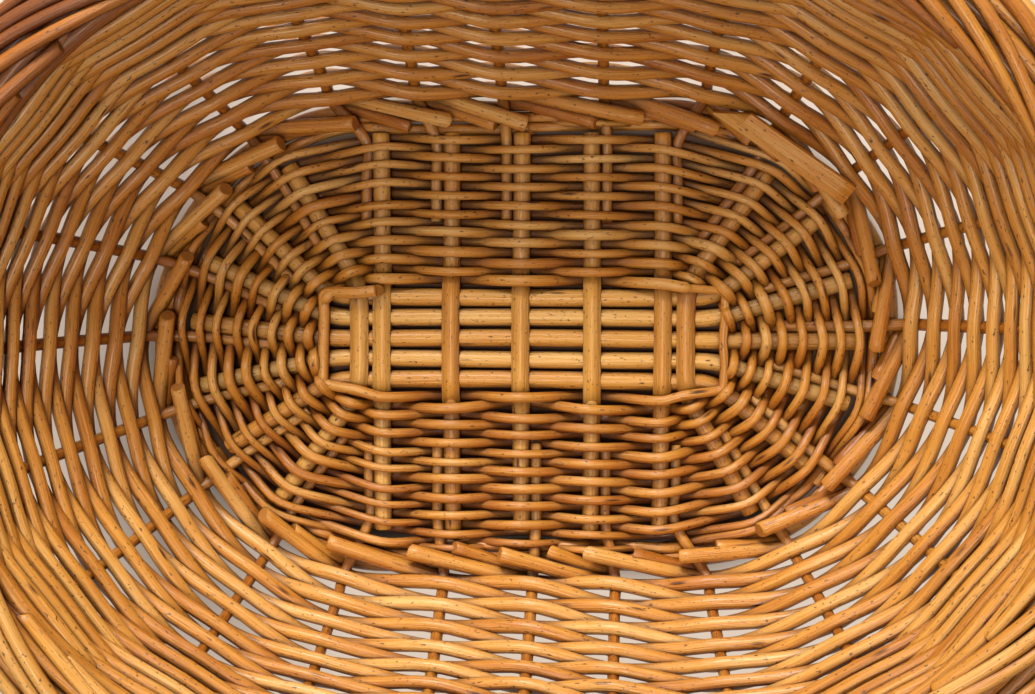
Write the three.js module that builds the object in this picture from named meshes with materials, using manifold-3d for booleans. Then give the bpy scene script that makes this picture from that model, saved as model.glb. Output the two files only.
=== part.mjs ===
// Oval willow bicycle basket with two leather handlebar straps.
// Millimetres, +Z up, +Y towards the handlebar. The origin is under the middle of the whole object.
//
// The oval is a straight spine along X with a round end at each tip. A place on the basket is given
// by a length along the oval, a distance out from the spine and a height.

import * as THREE from 'three';
import Module from 'manifold-3d';

const wasm = await Module();
wasm.setup();

// Driving dimensions of the base
const spineHalf = 56.5;
const baseRadius = 83;
const stickDiameter = 6.6;
const stickGap = 1.8;
const crossPitch = 28.4;
const pairGap = 2.6;
const splitLeaf = 2.95;
const openMargin = 1.4;
const stickInset = 4;

// Driving dimensions of the wall
const stakeDiameter = 4.2;
const stakeLead = 4.4;
const spreadRadius = 120;
const tailLength = 36;
const weaverButt = 5.3;
const weaverTip = 2.7;
const wallSlant = 112;
const flareFoot = 39;
const flareRim = 14.5;
const footRun = 12;
const footRise = 2;
const borderWidth = 30;
const borderHeight = 18;
const borderOut = 10;
const stakeSocket = 7;
const strandGroove = 2.2;
const stakeSkin = 0.8;

// Driving dimensions of the straps and buckles
const strapStakes = 1.5;
const strapWidth = 18;
const strapThickness = 2.4;
const strapStandoff = 12;
const strapHighSlot = 98;
const strapLowSlot = 83;
const strapBend = 12;
const strapTurn = 4;
const loopRise = 21;
const loopDrop = 16;
const foldBack = 10;
const tailRise = 28;
const buckleHigh = 80;
const buckleLength = 18;
const buckleWire = 3;
const buckleSideGap = 1.7;
const buckleCorner = 4;
const prongWidth = 2.6;
const prongThickness = 1.8;
const prongEye = 1.2;
const prongOverhang = 2.5;
const keeperWidth = 5;
const keeperWall = 1.6;

// Clearances between pieces that touch on the real basket
const clearance = 0.35;
const tailClearance = 0.5;
const prongSlack = 0.6;

// Counts and facets
const longCount = 5;
const crossCount = 7;
const stakeCount = 2 * (longCount + crossCount);
const capSteps = 16;
const wallSteps = 5;
const stickSides = 8;
const stakeSides = 6;
const borderStrands = 10;
const strandsPerStake = 2;
const strandSteps = 3;
const bendSteps = 4;
const cornerSteps = 3;
const eyeSides = 16;
const weldDistance = 1e-4;

// Derived sizes
const stickRadius = stickDiameter / 2;
const stakeRadius = stakeDiameter / 2;
const stickPitch = stickDiameter + stickGap;
const slotHalfHeight = stickRadius + clearance;
const baseHalf = slotHalfHeight + splitLeaf;
const slathHalf = (longCount - 1) / 2 * stickPitch + stickRadius;
const openRadius = slathHalf + openMargin;
const edgeRadius = baseRadius - stickInset;
const tailOffset = stickRadius + stakeRadius + tailClearance;
const spread = 2 * Math.PI * spreadRadius + 4 * spineHalf;
const flareStart = THREE.MathUtils.degToRad(flareFoot);
const flareEnd = THREE.MathUtils.degToRad(flareRim);
const footRadius = baseRadius + footRun;
const footHeight = baseHalf + footRise;
const wireRadius = buckleWire / 2;
const UP = new THREE.Vector3(0, 0, 1);

const willow = new THREE.MeshStandardMaterial({ color: 0xb9803f, roughness: 0.45, metalness: 0 });
const peeled = new THREE.MeshStandardMaterial({ color: 0xd09a50, roughness: 0.4, metalness: 0 });
const leather = new THREE.MeshStandardMaterial({ color: 0x6b3a1c, roughness: 0.6, metalness: 0 });
const steel = new THREE.MeshStandardMaterial({ color: 0xb8b8b4, roughness: 0.3, metalness: 1 });

// Places on the oval

// Spine point, outward and counterclockwise directions at a length along the oval, from its front middle
function place(length) {
  const u = THREE.MathUtils.euclideanModulo(length, spread);
  const cap = Math.PI * spreadRadius;
  const half = u < spread / 2 ? 1 : -1;
  const v = half > 0 ? u : u - spread / 2;
  const turn = THREE.MathUtils.clamp((v - spineHalf) / spreadRadius, 0, Math.PI);
  const slide = v < spineHalf ? v : Math.min(spineHalf, 2 * spineHalf + cap - v);
  const out = new THREE.Vector3(half * Math.sin(turn), -half * Math.cos(turn), 0);
  return { foot: new THREE.Vector3(half * slide, 0, 0), out, along: new THREE.Vector3(-out.y, out.x, 0) };
}

function stakePlace(index) {
  return place(index * spread / stakeCount + stakeLead);
}

function at(spot, radius, height) {
  return spot.foot.clone().addScaledVector(spot.out, radius).addScaledVector(UP, height);
}

// Distance out, height and flare of the middle of the wall at a slant length up from its foot
function wall(slant) {
  const bend = (flareStart - flareEnd) / wallSlant;
  const flare = flareStart - bend * THREE.MathUtils.clamp(slant, 0, wallSlant);
  const beyond = Math.max(slant - wallSlant, 0);
  const radius = footRadius + (Math.cos(flare) - Math.cos(flareStart)) / bend + beyond * Math.sin(flare);
  const height = footHeight + (Math.sin(flareStart) - Math.sin(flare)) / bend + beyond * Math.cos(flare);
  return { radius, height, flare };
}

// A point beside the wall's middle, a distance out along its normal
function besideWall(slant, offset) {
  const { radius, height, flare } = wall(slant);
  return [radius + offset * Math.cos(flare), height - offset * Math.sin(flare)];
}

function weaverThickness(slant) {
  return THREE.MathUtils.lerp(weaverButt, weaverTip, slant / wallSlant);
}

// Half of the wall's thickness: half a stake and one weaver
function wallHalf(slant) {
  return stakeRadius + weaverThickness(slant);
}

// Solids

function meshGeometry(positions, faces) {
  const geometry = new THREE.BufferGeometry();
  geometry.setAttribute('position', new THREE.Float32BufferAttribute(positions, 3));
  geometry.setIndex(faces);
  return geometry;
}

// Joins rings of points that turn counterclockwise about the way they advance; a closed sweep that twists
// comes back to its first ring some points further on
function sweep(rings, closed, twist = 0) {
  const count = rings[0].length;
  const faces = [];
  const spans = closed ? rings.length : rings.length - 1;
  for (let i = 0; i < spans; i++) {
    const here = i * count;
    const next = ((i + 1) % rings.length) * count;
    const further = i + 1 === rings.length ? twist : 0;
    for (let k = 0; k < count; k++) {
      const m = (k + 1) % count;
      const nextK = next + (k + further) % count;
      const nextM = next + (m + further) % count;
      faces.push(here + k, here + m, nextM, here + k, nextM, nextK);
    }
  }
  const last = (rings.length - 1) * count;
  for (let k = 1; !closed && k < count - 1; k++) {
    faces.push(0, k + 1, k, last, last + k, last + k + 1);
  }
  return meshGeometry(rings.flat().flatMap((point) => point.toArray()), faces);
}

// A closed ring round the oval from an outline of [distance out, height], listed clockwise
function ovalRing(outline) {
  const rings = [];
  for (const half of [1, -1]) {
    for (let i = 0; i <= capSteps; i++) {
      const turn = Math.PI * i / capSteps;
      const foot = new THREE.Vector3(half * spineHalf, 0, 0);
      const out = new THREE.Vector3(half * Math.sin(turn), -half * Math.cos(turn), 0);
      rings.push(outline.map(([radius, height]) => at({ foot, out }, radius, height)));
    }
  }
  return sweep(rings, true);
}

function roundSection(radius, sides, rise = radius) {
  return Array.from({ length: sides }, (_, k) => {
    const turn = 2 * Math.PI * (k + 0.5) / sides;
    return [radius * Math.cos(turn), rise * Math.sin(turn)];
  });
}

function flatSection(width, thickness) {
  const w = width / 2;
  const t = thickness / 2;
  return [[w, t], [-w, t], [-w, -t], [w, -t]];
}

// Sweeps a section along points; side is the section's first direction, sectionAt gives it at each point
function along(points, side, sectionAt, closed = false) {
  const count = points.length;
  const rings = points.map((point, i) => {
    const before = closed ? points[(i + count - 1) % count] : points[Math.max(i - 1, 0)];
    const after = closed ? points[(i + 1) % count] : points[Math.min(i + 1, count - 1)];
    const heading = after.clone().sub(before).normalize();
    const up = heading.clone().cross(side).normalize();
    const across = up.clone().cross(heading);
    return sectionAt(i).map(([a, b]) => point.clone().addScaledVector(across, a).addScaledVector(up, b));
  });
  return sweep(rings, closed);
}

// The same run of points with both ends drawn out by a length
function drawnOut(points, length) {
  const stretch = (end, inner) => end.clone().add(end.clone().sub(inner).setLength(length));
  const last = points.length - 1;
  const first = stretch(points[0], points[1]);
  return [first, ...points.slice(1, last), stretch(points[last], points[last - 1])];
}

function toManifold(geometry) {
  const vertProperties = new Float32Array(geometry.getAttribute('position').array);
  const triVerts = new Uint32Array(geometry.getIndex().array);
  return new wasm.Manifold(new wasm.Mesh({ numProp: 3, vertProperties, triVerts }));
}

function toGeometry(manifold) {
  const mesh = manifold.getMesh();
  return meshGeometry(Array.from(mesh.vertProperties), Array.from(mesh.triVerts));
}

function cut(geometry, cutters) {
  const less = (solid, cutter) => solid.subtract(toManifold(cutter));
  return toGeometry(cutters.reduce(less, toManifold(geometry)));
}

function join(first, second) {
  return toGeometry(toManifold(first).add(toManifold(second)));
}

// Base sticks

const longRun = spineHalf + openRadius;
const pairOffset = stickDiameter + pairGap;

function crossX(index) {
  const steps = Math.min(Math.abs(index), (crossCount - 3) / 2);
  const doubled = Math.abs(index) > steps ? pairOffset : 0;
  return Math.sign(index) * (steps * crossPitch + doubled);
}

// The outer run of a stick: where it leaves the middle and ends, its heading, and the stake's tail at its end

// A stick that fans out towards its stake
function fanRun(stake, x, y) {
  const start = new THREE.Vector3(x, y, baseHalf);
  const tail = at(stakePlace(stake), edgeRadius, baseHalf);
  const aim = tail.clone().sub(start).normalize();
  const end = tail.clone().addScaledVector(new THREE.Vector3(-aim.y, aim.x, 0), -tailOffset);
  return { start, end, tail, heading: end.clone().sub(start).normalize() };
}

// A stick that runs straight on, with the tail on its left or right
function straightRun(x, y, side) {
  const start = new THREE.Vector3(x, y, baseHalf);
  const reach = Math.sqrt(edgeRadius ** 2 - Math.max(Math.abs(x) - spineHalf, 0) ** 2);
  const end = new THREE.Vector3(x, Math.sign(y) * reach, baseHalf);
  const tail = end.clone().setX(x + side * tailOffset);
  return { start, end, tail, heading: end.clone().sub(start).normalize() };
}

const stickRuns = {};

// A long stick runs along X and fans out at both ends
function longStickPoints(index) {
  const y = index * stickPitch;
  const quarter = stakeCount / 4;
  const right = fanRun(quarter + index, longRun, y);
  const left = fanRun(3 * quarter - index, -longRun, y);
  stickRuns[quarter + index] = right;
  stickRuns[3 * quarter - index] = left;
  return [left.end, left.start, right.start, right.end];
}

function longStick(points, grow) {
  return along(grow > 0 ? drawnOut(points, grow) : points, sideways(points),
    () => roundSection(stickRadius + grow, stickSides));
}

// A horizontal direction square to a flat run of points
function sideways(points) {
  const heading = points[points.length - 1].clone().sub(points[0]).normalize();
  return UP.clone().cross(heading);
}

// A cross stick is split in the middle, where the long sticks pass between its two leaves. The two
// outermost fan out, the others run straight with their tails on the side away from the middle one.
function crossStickPoints(index) {
  const x = crossX(index);
  const fans = Math.abs(index) === (crossCount - 1) / 2;
  const run = (stake, y) => {
    const side = Math.sign(index) || -Math.sign(y);
    return fans ? fanRun(stake, x, y) : straightRun(x, y, side);
  };
  const front = run((index + stakeCount) % stakeCount, -openRadius);
  const back = run(stakeCount / 2 - index, openRadius);
  stickRuns[(index + stakeCount) % stakeCount] = front;
  stickRuns[stakeCount / 2 - index] = back;
  const swell = slathHalf - stickRadius;
  const close = (run) => run.start.clone().addScaledVector(run.heading, stickRadius + splitLeaf);
  return [front.end, close(front), front.start, new THREE.Vector3(x, -swell, baseHalf),
    new THREE.Vector3(x, swell, baseHalf), back.start, close(back), back.end];
}

function crossStick(points, grow) {
  const neck = (stickRadius + baseHalf) / 2;
  const rises = [stickRadius, stickRadius, neck, baseHalf, baseHalf, neck, stickRadius, stickRadius];
  return along(grow > 0 ? drawnOut(points, grow) : points, sideways(points),
    (i) => roundSection(stickRadius + grow, stickSides, rises[i] / Math.cos(Math.PI / stickSides) + grow));
}

function splitSlot(index) {
  const slot = new THREE.BoxGeometry(2 * stickDiameter, 2 * (slathHalf + clearance), 2 * slotHalfHeight);
  slot.translate(crossX(index), 0, baseHalf);
  return weld(slot);
}

// Shares the corners of a closed geometry, so that its faces are joined
function weld(geometry) {
  const position = geometry.getAttribute('position');
  const corners = new Map();
  const positions = [];
  const order = Array.from({ length: position.count }, (_, i) => {
    const corner = [position.getX(i), position.getY(i), position.getZ(i)];
    const key = corner.map((v) => Math.round(v / weldDistance)).join();
    if (!corners.has(key)) {
      corners.set(key, positions.push(...corner) / 3 - 1);
    }
    return corners.get(key);
  });
  const faces = Array.from(geometry.getIndex().array, (i) => order[i]);
  const kept = [];
  for (let i = 0; i < faces.length; i += 3) {
    const [a, b, c] = faces.slice(i, i + 3);
    if (a !== b && b !== c && c !== a) {
      kept.push(a, b, c);
    }
  }
  return meshGeometry(positions, kept);
}

const longSticks = [];
for (let i = -(longCount - 1) / 2; i <= (longCount - 1) / 2; i++) {
  longSticks.push(longStickPoints(i));
}
const crossSticks = [];
for (let i = -(crossCount - 1) / 2; i <= (crossCount - 1) / 2; i++) {
  crossSticks.push({ index: i, points: crossStickPoints(i) });
}

// Stakes: a tail pushed in beside a base stick, then up through the wall into the border

function stakePoints(index) {
  const spot = stakePlace(index);
  const { tail, heading } = stickRuns[index];
  const points = [tail.clone().addScaledVector(heading, -tailLength), tail];
  for (let i = 0; i <= wallSteps; i++) {
    const { radius, height } = wall(wallSlant * i / wallSteps);
    points.push(at(spot, radius, height));
  }
  const top = wall(wallSlant + stakeSocket);
  points.push(at(spot, top.radius, top.height));
  return points;
}

function stake(index, grow) {
  const points = stakePoints(index);
  return along(grow > 0 ? drawnOut(points, 2 * grow) : points, stakePlace(index).along,
    () => roundSection(stakeRadius + grow, stakeSides));
}

const stakeIndexes = Array.from({ length: stakeCount }, (_, i) => i);
const stakeCutters = stakeIndexes.map((i) => stake(i, clearance));

// Woven base: an oval ring round the bare middle, with its rim laid against the foot of the wall

function baseWeave() {
  const foot = wall(0);
  const reach = wallHalf(0);
  const lean = [Math.cos(foot.flare), -Math.sin(foot.flare)];
  const rim = [foot.radius + clearance * lean[1], foot.height - clearance * lean[0]];
  const toTop = (rim[1] - 2 * baseHalf) / -lean[1];
  const high = [rim[0] + toTop * lean[0], 2 * baseHalf];
  const low = [rim[0] + reach * lean[0], rim[1] + reach * lean[1]];
  const outline = [[openRadius, 0], [openRadius, 2 * baseHalf], high, low, [low[0] - low[1], 0]];
  const cutters = [
    ...longSticks.map((points) => longStick(points, clearance)),
    ...crossSticks.map(({ points }) => crossStick(points, clearance)),
    ...stakeCutters,
  ];
  return cut(ovalRing(outline), cutters);
}

// Straps: each goes through the wall twice and round the bar, and is buckled on its outer side

const borderStations = Array.from({ length: stakeCount * strandSteps }, (_, i) => i / strandSteps);
const borderReach = Math.max(...borderStations.flatMap(borderOutline).map(([radius]) => radius));
const legRadius = borderReach + strapStandoff;
const wrapRadius = wireRadius + clearance + strapThickness / 2;
const barRadius = legRadius + wrapRadius;
const foldRadius = legRadius + 2 * wrapRadius;
const tailRadius = foldRadius + strapThickness + clearance;
const buckleLow = buckleHigh - buckleLength;

const strapSpots = {
  left: place(spread / 2 + strapStakes * spread / stakeCount),
  right: place(spread / 2 - strapStakes * spread / stakeCount),
};

// Corners of the strap's middle line as [distance out, height, bend], from the folded end to the tip
function strapCorners() {
  const inside = (slant) => besideWall(slant, -wallHalf(slant) - clearance - strapThickness / 2);
  return [
    [foldRadius, buckleHigh + foldBack, 0],
    [foldRadius, buckleHigh - wrapRadius, wrapRadius],
    [legRadius, buckleHigh - wrapRadius, wrapRadius],
    [legRadius, buckleHigh + loopRise, strapBend],
    [...inside(strapHighSlot), strapTurn],
    [...inside(strapLowSlot), strapTurn],
    [legRadius, buckleLow - loopDrop, strapBend],
    [legRadius, buckleLow + buckleWire + strapTurn / 2, strapTurn],
    [tailRadius, buckleHigh - wrapRadius - strapThickness, strapTurn],
    [tailRadius, buckleHigh + foldBack + strapTurn, strapTurn],
    [legRadius, buckleHigh + tailRise, 0],
  ];
}

// Points along a cornered line whose corners are rounded off over their bend
function rounded(corners, spot, steps) {
  const flat = corners.map(([radius, height]) => new THREE.Vector2(radius, height));
  const line = flat.flatMap((corner, i) => {
    const bend = corners[i][2];
    if (bend === 0) {
      return [corner];
    }
    const from = flat[i - 1].clone().sub(corner).setLength(bend).add(corner);
    const to = flat[i + 1].clone().sub(corner).setLength(bend).add(corner);
    return new THREE.QuadraticBezierCurve(from, corner, to).getPoints(steps);
  });
  return line.map((point) => at(spot, point.x, point.y));
}

function strapBand(spot, grow) {
  const points = rounded(strapCorners(), spot, bendSteps);
  const section = flatSection(strapWidth + 2 * grow, strapThickness + 2 * grow);
  return along(points, spot.along, () => section);
}

// A box in a strap's frame, between two distances out and two heights
function strapBox(spot, width, inner, outer, low, high) {
  const box = new THREE.BoxGeometry(outer - inner, width, high - low);
  const middle = at(spot, (inner + outer) / 2, (low + high) / 2);
  box.applyMatrix4(new THREE.Matrix4().makeBasis(spot.out, spot.along, UP).setPosition(middle));
  return weld(box);
}

// The strap has a slot in its fold for the prong's eye and one in its tail for the prong
function strap(spot) {
  const width = prongWidth + 2 * prongSlack;
  const inner = legRadius - strapThickness;
  const outer = tailRadius + strapThickness;
  const gap = tailRadius - (strapThickness + clearance) / 2;
  const reach = wireRadius + clearance + prongEye + prongSlack;
  return cut(strapBand(spot, 0), [
    strapBox(spot, width, inner, gap, buckleHigh - 2 * wrapRadius, buckleHigh + reach),
    strapBox(spot, width, inner, outer, buckleLow + buckleWire, buckleHigh - wireRadius),
  ]);
}

// A flat rectangle with rounded corners, as points [across, up] counterclockwise
function roundedRectangle(width, height, corner, steps) {
  const points = [];
  for (let quarter = 0; quarter < 4; quarter++) {
    const signX = quarter === 0 || quarter === 3 ? 1 : -1;
    const signY = quarter < 2 ? 1 : -1;
    for (let i = 0; i <= steps; i++) {
      const turn = (quarter + i / steps) * Math.PI / 2;
      points.push([signX * (width / 2 - corner) + corner * Math.cos(turn),
        signY * (height / 2 - corner) + corner * Math.sin(turn)]);
    }
  }
  return points;
}

function buckleFrame(spot) {
  const width = strapWidth + 2 * buckleSideGap + buckleWire;
  const middle = at(spot, barRadius, (buckleHigh + buckleLow) / 2);
  const points = roundedRectangle(width, buckleLength, buckleCorner, cornerSteps)
    .map(([a, b]) => middle.clone().addScaledVector(spot.along, a).addScaledVector(UP, b));
  return along(points, spot.out, () => roundSection(wireRadius, stickSides), true);
}

// A round bar along a strap's width, about the buckle's upper bar
function barRound(spot, radius, length) {
  const bar = new THREE.CylinderGeometry(radius, radius, length, eyeSides);
  const middle = at(spot, barRadius, buckleHigh);
  bar.applyMatrix4(new THREE.Matrix4().makeBasis(spot.out, spot.along, UP).setPosition(middle));
  return weld(bar);
}

// The prong turns on the upper bar and lies on the outer side of the lower one
function prong(spot) {
  const eye = wireRadius + clearance + prongEye;
  const rest = barRadius + wireRadius + clearance + prongThickness / 2;
  const start = at(spot, barRadius + eye - prongThickness / 2, buckleHigh - wireRadius);
  const end = at(spot, rest, buckleLow - prongOverhang);
  const arm = along([start, end], spot.along, () => flatSection(prongWidth, prongThickness));
  const hole = barRound(spot, wireRadius + clearance, 2 * prongWidth);
  return cut(join(barRound(spot, eye, prongWidth), arm), [hole]);
}

// The keeper is a leather loop round the strap, its fold and its tail
function keeper(spot) {
  const low = buckleHigh + wireRadius + 2 * clearance;
  const inner = legRadius - strapThickness / 2 - clearance;
  const outer = tailRadius + strapThickness / 2 + clearance;
  const depth = outer - inner + keeperWall;
  const width = strapWidth + 2 * clearance + keeperWall;
  const middle = at(spot, (inner + outer) / 2, low + keeperWidth / 2);
  const points = roundedRectangle(depth, width, keeperWall / 2, 1)
    .map(([a, b]) => middle.clone().addScaledVector(spot.out, a).addScaledVector(spot.along, b));
  return along(points, UP, () => flatSection(keeperWidth, keeperWall), true);
}

// Woven wall: a flared oval shell of weavers that rise one row from each stake to the next and pass the
// stakes inside and outside by turns, with a channel for each stake and slots for the straps

// Slant length up to a row; the rows get lower as the weavers get thinner
function rowSlant(row) {
  const taper = weaverTip / weaverButt;
  return wallSlant * (1 - taper ** (row / stakeCount)) / (1 - taper);
}

// A point on the inner (-1) or outer (1) face, in a column at a stake or midway to the next one. By the
// stakes even rows lie inside and odd rows outside.
function wovenPoint(column, row, face) {
  const slant = rowSlant(row);
  const thickness = weaverThickness(slant);
  const bulges = (row % 2 === 0) === (face < 0);
  const byStake = stakeRadius + (bulges ? thickness : clearance + stakeSkin);
  const reach = column % 2 === 0 ? byStake : thickness / 2;
  return at(stakePlace(column / 2), ...besideWall(slant, face * reach));
}

function wovenShell() {
  const columns = 2 * stakeCount;
  const points = [];
  const corner = (column, halfRow, face) => {
    const row = THREE.MathUtils.clamp(halfRow / 2, 0, stakeCount);
    return wovenPoint(column % columns, row, face);
  };
  const quad = (a, b, c, d) => points.push(a, b, c, a, c, d);
  for (let column = 0; column < columns; column++) {
    const next = column + 1;
    for (let row = -1; row < stakeCount; row++) {
      const low = 2 * row + column % 2;
      const [outer, inner] = [1, -1].map((face) => [
        corner(column, low, face), corner(next, low + 1, face),
        corner(next, low + 3, face), corner(column, low + 2, face),
      ]);
      quad(...outer);
      quad(inner[0], inner[3], inner[2], inner[1]);
    }
    for (const [halfRow, face] of [[0, -1], [2 * stakeCount, 1]]) {
      quad(corner(column, halfRow, face), corner(next, halfRow, face),
        corner(next, halfRow, -face), corner(column, halfRow, -face));
    }
  }
  return weld(meshGeometry(points.flatMap((point) => point.toArray()), points.map((_, i) => i)));
}

function sideWeave() {
  const bands = Object.values(strapSpots).map((spot) => strapBand(spot, clearance));
  return cut(wovenShell(), [...stakeCutters, ...bands]);
}

// Border: a thick edge rolled from strands that wind round it, mostly outside the wall, with a socket for
// the top of each stake

// Outline at a place counted in stakes, with a groove after each strand
function borderOutline(stakes) {
  const rise = wallSlant + clearance + borderHeight / 2;
  return Array.from({ length: 2 * borderStrands }, (_, k) => {
    const turn = -2 * Math.PI * (k / 2 + strandsPerStake * stakes) / borderStrands;
    const groove = k % 2 * strandGroove;
    const offset = (borderWidth / 2 - groove) * Math.cos(turn);
    return besideWall(rise + (borderHeight / 2 - groove) * Math.sin(turn), borderOut + offset);
  });
}

function rimBorder() {
  const rings = borderStations.map((stakes) => borderOutline(stakes)
    .map(([radius, height]) => at(stakePlace(stakes), radius, height)));
  return cut(sweep(rings, true, 2 * strandsPerStake * stakeCount), stakeCutters);
}

// The basket, moved so that the straps and the wall opposite reach equally far from the origin

const basket = new THREE.Group();
const body = new THREE.Group();
basket.add(body);
body.position.y = -(tailRadius + strapThickness / 2 + clearance + keeperWall - borderReach) / 2;

function add(name, geometry, material) {
  geometry.computeVertexNormals();
  const mesh = new THREE.Mesh(geometry, material);
  mesh.name = name;
  body.add(mesh);
}

longSticks.forEach((points, i) => add(`long_stick_${i + 1}`, longStick(points, 0), peeled));
crossSticks.forEach(({ index, points }, i) => {
  add(`cross_stick_${i + 1}`, cut(crossStick(points, 0), [splitSlot(index)]), peeled);
});
stakeIndexes.forEach((i) => add(`stake_${String(i + 1).padStart(2, '0')}`, stake(i, 0), willow));
add('base_weave', baseWeave(), willow);
add('side_weave', sideWeave(), willow);
add('rim_border', rimBorder(), willow);
for (const [side, spot] of Object.entries(strapSpots)) {
  add(`strap_${side}`, strap(spot), leather);
  add(`buckle_${side}`, buckleFrame(spot), steel);
  add(`prong_${side}`, prong(spot), steel);
  add(`keeper_${side}`, keeper(spot), leather);
}

export default basket;
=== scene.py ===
"""Oval willow bicycle basket: its woven rods, border and straps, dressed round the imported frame."""

import math

import bpy
import numpy as np
from mathutils import Matrix, Vector


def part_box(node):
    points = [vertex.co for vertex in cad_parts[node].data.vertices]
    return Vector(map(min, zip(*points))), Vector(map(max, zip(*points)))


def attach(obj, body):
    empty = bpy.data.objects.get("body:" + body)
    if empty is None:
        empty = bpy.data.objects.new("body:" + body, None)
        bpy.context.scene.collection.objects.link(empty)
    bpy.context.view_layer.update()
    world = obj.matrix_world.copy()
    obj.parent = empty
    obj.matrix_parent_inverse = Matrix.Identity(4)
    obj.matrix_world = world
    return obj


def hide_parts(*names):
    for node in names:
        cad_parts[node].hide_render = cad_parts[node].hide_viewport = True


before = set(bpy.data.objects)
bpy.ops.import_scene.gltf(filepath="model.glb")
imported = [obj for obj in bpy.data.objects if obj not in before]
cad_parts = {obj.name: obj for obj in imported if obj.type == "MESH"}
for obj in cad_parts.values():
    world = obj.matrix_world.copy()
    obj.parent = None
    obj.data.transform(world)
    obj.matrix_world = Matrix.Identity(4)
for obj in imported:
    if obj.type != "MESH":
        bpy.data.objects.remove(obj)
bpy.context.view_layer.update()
rng = np.random.default_rng(11)

# Sizes in millimetres, the same as the solids'
MM = 0.001
SPINE = 56.5  # half the length of the straight line that the oval runs round
SPREAD_RADIUS = 120.0  # distance from it at which lengths along the oval are counted
SPREAD = 2 * math.pi * SPREAD_RADIUS + 4 * SPINE
STAKES = 24
PITCH = SPREAD / STAKES
LEAD = 4.4  # from the front middle to the first stake's even place
STICK = 3.3  # radius of a base stick
STICK_PITCH = 8.4
CROSS_PITCH = 28.4
PAIR = 9.2  # from an outer cross stick to the one close beside it
OPEN = 21.5  # half the width of the bare middle of the base
EDGE = 79.0  # distance of the base's edge from the spine
MID = 6.6  # height of the sticks' middle
LEAF = 2.95  # thickness of one leaf of a split cross stick
STAKE = 2.1  # radius of a stake
TAIL = 36.0  # length of a stake in the base
TAIL_GAP = 0.5
TAIL_OFFSET = STICK + STAKE + TAIL_GAP
SLANT = 112.0  # length of the wall, up its slope
FOOT = (95.0, 8.6)  # distance out and height of the wall's foot
FLARE = (math.radians(39), math.radians(14.5))
BORDER = {"out": 10.0, "rise": 9.35, "width": 30.0, "height": 18.0}
RIM_LOW, RIM_HIGH = (np.array(corner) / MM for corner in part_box("rim_border"))
SHIFT = (RIM_LOW[1] + RIM_HIGH[1]) / 2
BORDER_REACH = (RIM_HIGH[1] - RIM_LOW[1]) / 2

# How far each stake leans from its even place in the wall, from the front middle counterclockwise
LEAN = [0.5, -6.8, -6.4, -3.2, 0.1, 5.7, 4.1, 1.7, 2.4, 3.3, 0.9, 3.3,
        2.9, -3.6, -6.0, -1.2, -1.5, -4.0, -5.2, -4.8, -3.2, 2.5, 1.3, 4.9]


# Places on the oval basket

def place(u):
    """Spine point, outward and counterclockwise directions at a length along the oval from the front."""
    u = u % SPREAD
    half = 1 if u < SPREAD / 2 else -1
    v = u if half > 0 else u - SPREAD / 2
    turn = min(max((v - SPINE) / SPREAD_RADIUS, 0), math.pi)
    slide = v if v < SPINE else min(SPINE, 2 * SPINE + math.pi * SPREAD_RADIUS - v)
    out = np.array([half * math.sin(turn), -half * math.cos(turn), 0])
    return np.array([half * slide, SHIFT, 0]), out, np.array([-out[1], out[0], 0])


def at(u, radius, height):
    foot, out, _ = place(u)
    return foot + out * radius + np.array([0, 0, height])


def stake_u(k):
    """Length along the oval at a stake's number, which may lie between two stakes."""
    low = math.floor(k)
    lean = LEAN[low % STAKES] + (k - low) * (LEAN[(low + 1) % STAKES] - LEAN[low % STAKES])
    return k * PITCH + LEAD + lean


def wall(slant):
    """Distance out, height and flare of the middle of the wall at a slant length up from its foot."""
    bend = (FLARE[0] - FLARE[1]) / SLANT
    held = min(max(slant, 0), SLANT)
    flare = FLARE[0] - bend * held
    radius = FOOT[0] + (math.cos(flare) - math.cos(FLARE[0])) / bend + (slant - held) * math.sin(flare)
    height = FOOT[1] + (math.sin(FLARE[0]) - math.sin(flare)) / bend + (slant - held) * math.cos(flare)
    return radius, height, flare


def wall_point(slant, offset):
    """Distance out and height of a point beside the wall's middle, a distance out along its normal."""
    radius, height, flare = wall(slant)
    return radius + offset * math.cos(flare), height - offset * math.sin(flare)


def beside_wall(u, slant, offset):
    return at(u, *wall_point(slant, offset))


# Lines

def unit(v):
    v = np.asarray(v, float)
    return v / np.linalg.norm(v, axis=-1, keepdims=True)


def smooth(points, steps):
    """A smooth run through points."""
    p = np.asarray(points, float)
    p = np.vstack([2 * p[0] - p[1], p, 2 * p[-1] - p[-2]])
    t = np.linspace(0, 1, steps, endpoint=False)[:, None]
    runs = []
    for a, b, c, d in zip(p[:-3], p[1:-2], p[2:-1], p[3:]):
        runs.append(0.5 * (2 * b + (c - a) * t + (2 * a - 5 * b + 4 * c - d) * t ** 2
                           + (3 * b - a - 3 * c + d) * t ** 3))
    return np.vstack(runs + [p[-2:-1]])


def bent(points, bends, steps=6):
    """Straight lines between points, with each corner rounded off over its bend."""
    p = np.asarray(points, float)
    run = []
    for i, bend in enumerate(bends):
        if bend == 0:
            run.append(p[i])
            continue
        start = p[i] + unit(p[i - 1] - p[i]) * bend
        stop = p[i] + unit(p[i + 1] - p[i]) * bend
        for t in np.linspace(0, 1, steps):
            run.append(start * (1 - t) ** 2 + p[i] * 2 * t * (1 - t) + stop * t * t)
    return np.array(run)


def relaxed(points, passes):
    """The same points, each drawn towards its neighbours, which rounds off the corners."""
    p = np.array(points, float)
    for _ in range(passes):
        p[1:-1] = (p[:-2] + 2 * p[1:-1] + p[2:]) / 4
    return p


def lengths(points):
    """Length along a line at each of its points."""
    return np.concatenate([[0], np.cumsum(np.linalg.norm(np.diff(points, axis=0), axis=1))])


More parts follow.
